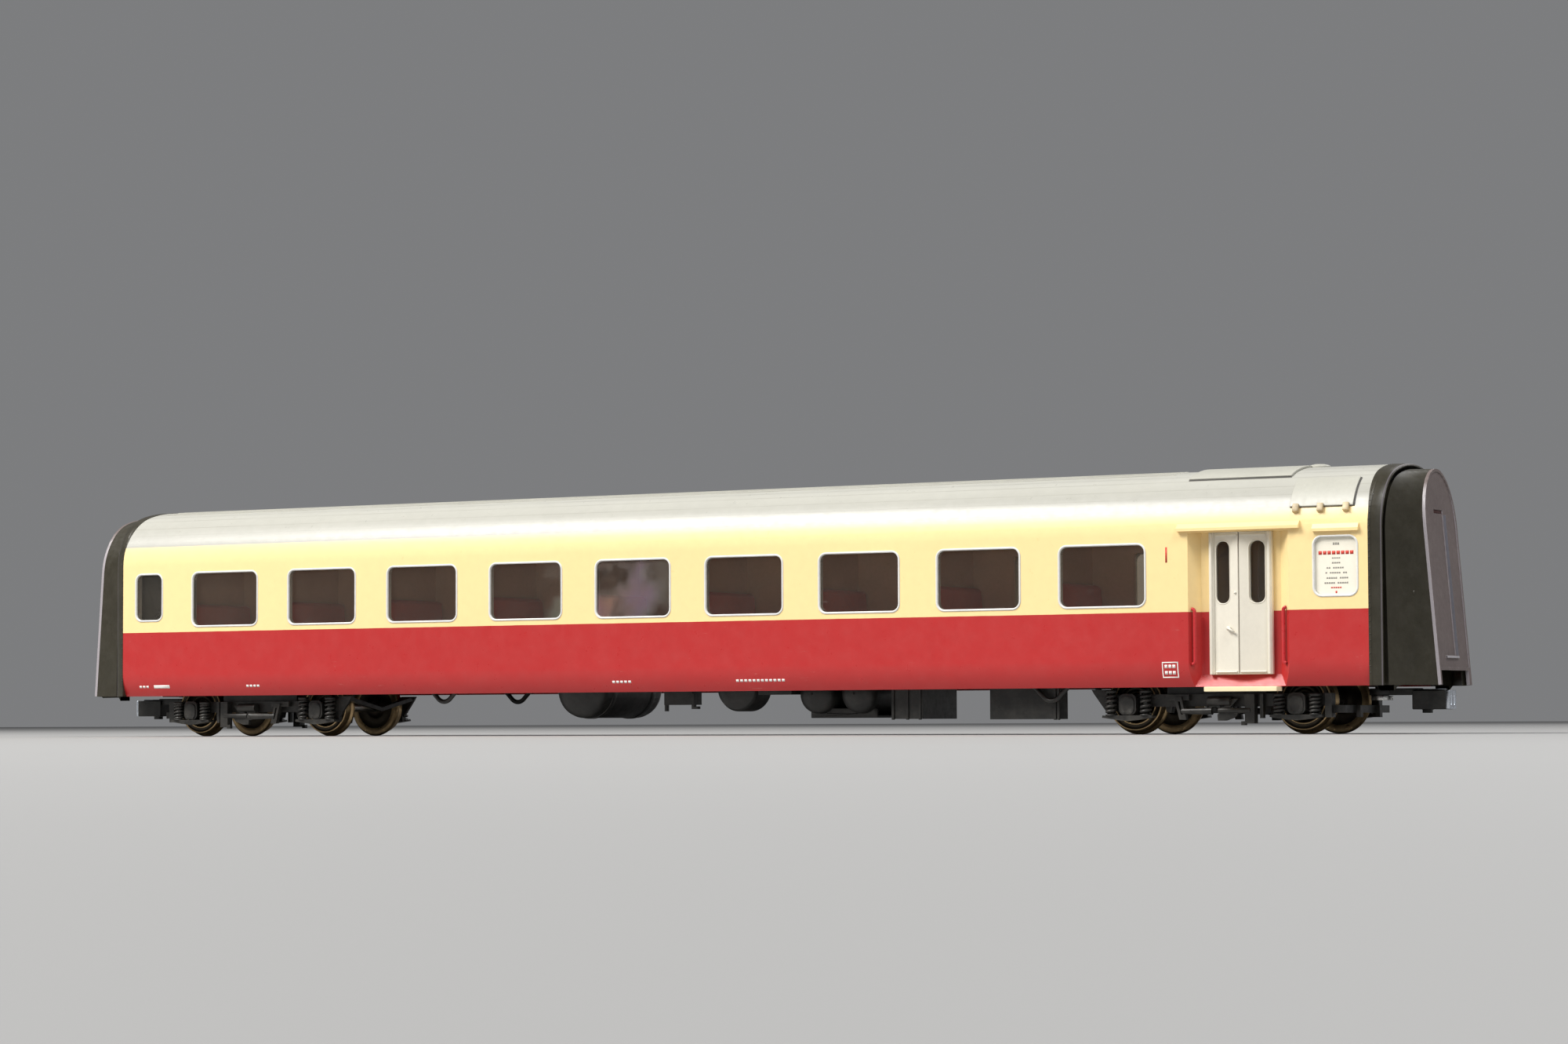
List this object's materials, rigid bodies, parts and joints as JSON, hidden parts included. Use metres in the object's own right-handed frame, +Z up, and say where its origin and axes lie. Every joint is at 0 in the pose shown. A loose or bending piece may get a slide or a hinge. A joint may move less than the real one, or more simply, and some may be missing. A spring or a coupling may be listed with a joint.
{
  "type": "model passenger coach",
  "caption": "Long 1:87 passenger coach with moulded body, glazed windows, entrance doors, sprung gangway shells, swivelling bogies and swinging couplers.",
  "frame": {"origin": "middle of the coach at the level of the lowest point of the wheel flanges", "axes": "+X along the coach towards the entrance end, +Y to the left side, +Z up"},
  "size_m": [0.2924, 0.0348, 0.0475],
  "materials": {
    "body_paint": "semi-gloss two-colour paint, cream over red, on moulded plastic",
    "window_rim": "fine silver-white printed rim",
    "clear_glazing": "clear moulded strip, slightly scratched",
    "board_print": "white board with plain printed bars",
    "door_plastic": "off-white moulded plastic",
    "bright_metal": "bright steel",
    "red_plastic": "red moulded plastic",
    "cream_plastic": "cream moulded plastic",
    "roof_paint": "satin warm light grey",
    "end_plastic": "satin olive-black moulded plastic",
    "end_plate_plastic": "matt brown-grey moulded plastic",
    "underframe_plastic": "matt black moulded plastic",
    "ballast_steel": "rolled steel plate",
    "interior_plastic": "brown-grey moulded plastic",
    "seat_plastic": "dark red moulded plastic",
    "coupler_plastic": "matt black moulded plastic",
    "coupler_metal": "bright formed metal",
    "wheel_metal": "blackened wheel centre with a bronze rim"
  },
  "bodies": {
    "coach": {"body_shell": "body_paint", "window_frames_left": "window_rim", "window_frames_right": "window_rim", "glazing_left": "clear_glazing", "glazing_right": "clear_glazing", "destination_boards": "board_print", "door_left": "door_plastic", "door_right": "door_plastic", "door_glazing": "clear_glazing", "door_handles": "bright_metal", "grab_rails": "red_plastic", "footsteps": "cream_plastic", "roof_long_hatch": "roof_paint", "roof_side_hatches": "roof_paint", "hatch_latches": "roof_paint", "roof_dome": "roof_paint", "end_ring_front": "end_plastic", "end_ring_rear": "end_plastic", "chassis": "underframe_plastic", "ballast_weight": "ballast_steel", "interior_floor": "interior_plastic", "compartment_walls": "interior_plastic", "seats": "seat_plastic", "main_tank": "underframe_plastic", "air_reservoirs": "underframe_plastic", "air_compressor": "underframe_plastic", "equipment_boxes": "underframe_plastic", "underfloor_pipes": "underframe_plastic", "bogie_pivot_screws": "bright_metal", "coupler_pivot_screws": "bright_metal", "chassis_screws": "bright_metal", "gangway_springs_front": "bright_metal", "gangway_springs_rear": "bright_metal"},
    "front_bogie": {"bogie_frame_front": "underframe_plastic", "axleboxes_front": "underframe_plastic", "coil_springs_front": "underframe_plastic", "bogie_links_front": "underframe_plastic", "brake_gear_front": "underframe_plastic"},
    "front_gangway": {"gangway_shell_front": "end_plastic", "gangway_plate_front": "end_plate_plastic"},
    "front_coupler": {"coupler_front": "coupler_plastic", "coupler_face_front": "coupler_metal"},
    "front_outer_wheelset": {"wheels_front_outer": "wheel_metal", "axle_front_outer": "bright_metal"},
    "front_inner_wheelset": {"wheels_front_inner": "wheel_metal", "axle_front_inner": "bright_metal"},
    "rear_bogie": {"bogie_frame_rear": "underframe_plastic", "axleboxes_rear": "underframe_plastic", "coil_springs_rear": "underframe_plastic", "bogie_links_rear": "underframe_plastic", "brake_gear_rear": "underframe_plastic"},
    "rear_gangway": {"gangway_shell_rear": "end_plastic", "gangway_plate_rear": "end_plate_plastic"},
    "rear_coupler": {"coupler_rear": "coupler_plastic", "coupler_face_rear": "coupler_metal"},
    "rear_outer_wheelset": {"wheels_rear_outer": "wheel_metal", "axle_rear_outer": "bright_metal"},
    "rear_inner_wheelset": {"wheels_rear_inner": "wheel_metal", "axle_rear_inner": "bright_metal"}
  },
  "joints": [
    {"name": "front_bogie_swivel", "type": "hinge", "parent": "coach", "child": "front_bogie", "pos_m": [0.1057, 0, 0.0077], "axis": [0, 0, 1], "range_deg": [-12, 12]},
    {"name": "front_outer_axle_spin", "type": "hinge", "parent": "front_bogie", "child": "front_outer_wheelset", "pos_m": [0.1217, 0, 0.00585], "axis": [0, 1, 0], "continuous": true},
    {"name": "front_inner_axle_spin", "type": "hinge", "parent": "front_bogie", "child": "front_inner_wheelset", "pos_m": [0.0897, 0, 0.00585], "axis": [0, 1, 0], "continuous": true},
    {"name": "front_coupler_swing", "type": "hinge", "parent": "coach", "child": "front_coupler", "pos_m": [0.1325, 0, 0.0073], "axis": [0, 0, 1], "range_deg": [-15, 15]},
    {"name": "front_gangway_slide", "type": "slide", "parent": "coach", "child": "front_gangway", "axis": [1, 0, 0], "range_m": [-0.0018, 0], "stiffness_N_per_m": 60, "springref_m": 0.002, "deforming": ["gangway_springs_front"]},
    {"name": "rear_bogie_swivel", "type": "hinge", "parent": "coach", "child": "rear_bogie", "pos_m": [-0.1057, 0, 0.0077], "axis": [0, 0, 1], "range_deg": [-12, 12]},
    {"name": "rear_outer_axle_spin", "type": "hinge", "parent": "rear_bogie", "child": "rear_outer_wheelset", "pos_m": [-0.1217, 0, 0.00585], "axis": [0, 1, 0], "continuous": true},
    {"name": "rear_inner_axle_spin", "type": "hinge", "parent": "rear_bogie", "child": "rear_inner_wheelset", "pos_m": [-0.0897, 0, 0.00585], "axis": [0, 1, 0], "continuous": true},
    {"name": "rear_coupler_swing", "type": "hinge", "parent": "coach", "child": "rear_coupler", "pos_m": [-0.1325, 0, 0.0073], "axis": [0, 0, 1], "range_deg": [-15, 15]},
    {"name": "rear_gangway_slide", "type": "slide", "parent": "coach", "child": "rear_gangway", "axis": [-1, 0, 0], "range_m": [-0.0018, 0], "stiffness_N_per_m": 60, "springref_m": 0.002, "deforming": ["gangway_springs_rear"]}
  ]
}
